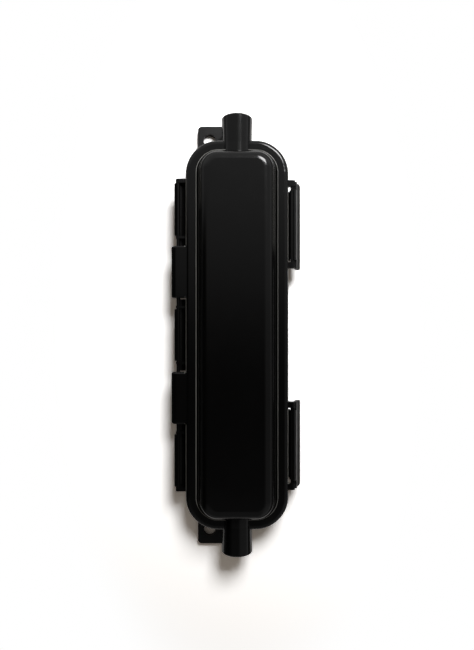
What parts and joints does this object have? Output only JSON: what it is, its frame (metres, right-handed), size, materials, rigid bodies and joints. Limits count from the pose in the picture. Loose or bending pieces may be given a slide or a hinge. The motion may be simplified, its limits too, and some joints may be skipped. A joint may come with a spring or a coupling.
{
  "type": "splice protection box",
  "caption": "Long black clamshell box for a fibre cable joint: hinged domed lid, side latches, sealed cable ports at both ends, wall lugs and a splice comb inside.",
  "frame": {"origin": "middle of the flat back, under the cable's axis", "axes": "+X from the hinge side to the latch side, +Y along the cable, +Z from the wall through the lid"},
  "size_m": [0.052, 0.1742, 0.0225],
  "materials": {
    "shell": "smooth moulded black plastic, glossy",
    "seal": "matt black rubber",
    "plated_steel": "zinc-plated steel",
    "holder": "off-white moulded plastic"
  },
  "bodies": {
    "base": {"base_shell": "shell", "gasket_left": "seal", "gasket_right": "seal", "cable_seal_upper": "seal", "cable_seal_lower": "seal", "cable_clamp_upper": "plated_steel", "cable_clamp_lower": "plated_steel", "clamp_screws": "plated_steel", "splice_holder": "holder", "holder_screws": "plated_steel"},
    "lid": {"lid_shell": "shell"},
    "latch_upper": {"latch_upper": "shell"},
    "latch_lower": {"latch_lower": "shell"}
  },
  "joints": [
    {"name": "lid_hinge", "type": "hinge", "parent": "base", "child": "lid", "pos_m": [-0.0235, 0, 0.0115], "axis": [0, -1, 0], "range_deg": [0, 180]},
    {"name": "latch_upper_pivot", "type": "hinge", "parent": "lid", "child": "latch_upper", "pos_m": [0.022, 0.0438, 0.0131], "axis": [0, -1, 0], "range_deg": [-14, 95]},
    {"name": "latch_lower_pivot", "type": "hinge", "parent": "lid", "child": "latch_lower", "pos_m": [0.022, -0.0438, 0.0131], "axis": [0, -1, 0], "range_deg": [-14, 95]}
  ]
}
